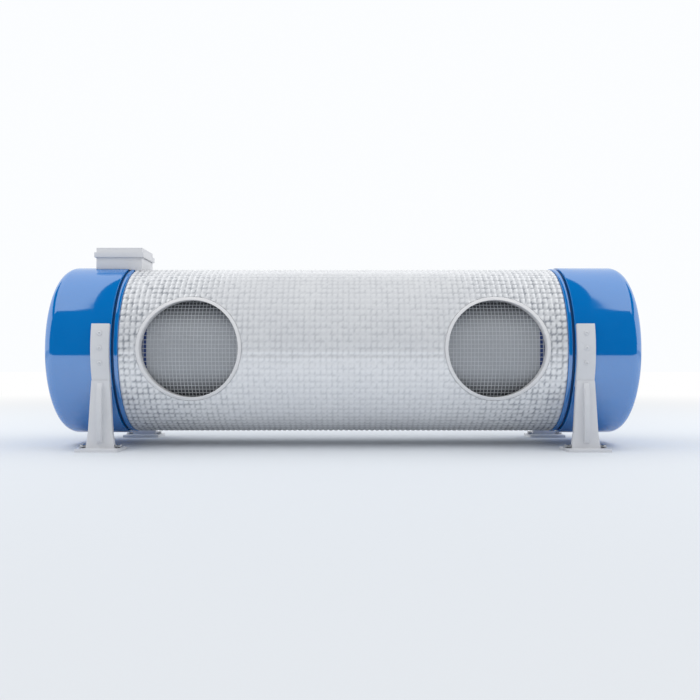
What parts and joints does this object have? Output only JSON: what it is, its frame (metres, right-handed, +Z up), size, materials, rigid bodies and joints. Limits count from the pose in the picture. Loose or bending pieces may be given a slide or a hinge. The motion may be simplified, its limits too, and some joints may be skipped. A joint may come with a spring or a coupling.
{
  "type": "salt chlorine generator",
  "caption": "Horizontal tube with side ports, a screen and an electrode plate stack inside, gloss end caps, leg brackets and a lidded junction box.",
  "frame": {"origin": "on the floor under the middle of the tube", "axes": "+X along the tube towards the end without the junction box, -Y out of the ports, +Z up"},
  "size_m": [0.955, 0.332, 0.3364],
  "materials": {
    "tube_white": "white plastic with a fine embossed grid, satin",
    "port_white": "smooth white plastic",
    "cap_blue": "high gloss moulded blue",
    "seal_navy": "dark blue rubber",
    "bracket_grey": "light grey moulded, satin",
    "box_grey": "light grey moulded, satin",
    "black_rubber": "black seal rubber",
    "screen_titanium": "woven titanium wire",
    "plate_oxide": "titanium with a dark oxide coat",
    "rod_titanium": "drawn titanium",
    "link_copper": "copper bar",
    "spacer_white": "machined white plastic",
    "block_cream": "moulded terminal plastic",
    "steel": "stainless steel"
  },
  "bodies": {
    "cell": {"bulkhead_gasket_left": "black_rubber", "bulkhead_gasket_right": "black_rubber", "bulkhead_left": "cap_blue", "bulkhead_right": "cap_blue", "cable_gland": "box_grey", "collar_left": "cap_blue", "collar_right": "cap_blue", "collar_seal_left": "seal_navy", "collar_seal_right": "seal_navy", "electrode_plate_1": "plate_oxide", "electrode_plate_2": "plate_oxide", "electrode_plate_3": "plate_oxide", "electrode_plate_4": "plate_oxide", "electrode_plate_5": "plate_oxide", "electrode_plate_6": "plate_oxide", "electrode_plate_7": "plate_oxide", "end_cap_left": "cap_blue", "end_cap_right": "cap_blue", "feed_lug_front": "rod_titanium", "feed_lug_rear": "rod_titanium", "feed_rod_front": "rod_titanium", "feed_rod_rear": "rod_titanium", "housing_tube": "tube_white", "junction_box": "box_grey", "leg_front_left": "bracket_grey", "leg_front_right": "bracket_grey", "leg_rear_left": "bracket_grey", "leg_rear_right": "bracket_grey", "port_ring_left": "port_white", "port_ring_right": "port_white", "rod_gland_front": "spacer_white", "rod_gland_rear": "spacer_white", "screen_sleeve": "screen_titanium", "spacer_left": "spacer_white", "spacer_right": "spacer_white", "strap_screw_front_left_1": "steel", "strap_screw_front_left_2": "steel", "strap_screw_front_left_3": "steel", "strap_screw_front_right_1": "steel", "strap_screw_front_right_2": "steel", "strap_screw_front_right_3": "steel", "strap_screw_rear_left_1": "steel", "strap_screw_rear_left_2": "steel", "strap_screw_rear_left_3": "steel", "strap_screw_rear_right_1": "steel", "strap_screw_rear_right_2": "steel", "strap_screw_rear_right_3": "steel", "stud_link_front": "link_copper", "stud_link_rear": "link_copper", "terminal_block": "block_cream", "terminal_stud_front": "steel", "terminal_stud_rear": "steel", "tie_bolt_front_low": "steel", "tie_bolt_front_top": "steel", "tie_bolt_rear_low": "steel", "tie_bolt_rear_top": "steel"},
    "lid": {"box_lid": "box_grey", "lid_gasket": "black_rubber", "lid_screw_1": "steel", "lid_screw_2": "steel"}
  },
  "joints": [
    {"name": "lid_lift", "type": "slide", "parent": "cell", "child": "lid", "axis": [0, 0, 1], "range_m": [0, 0.06]}
  ]
}
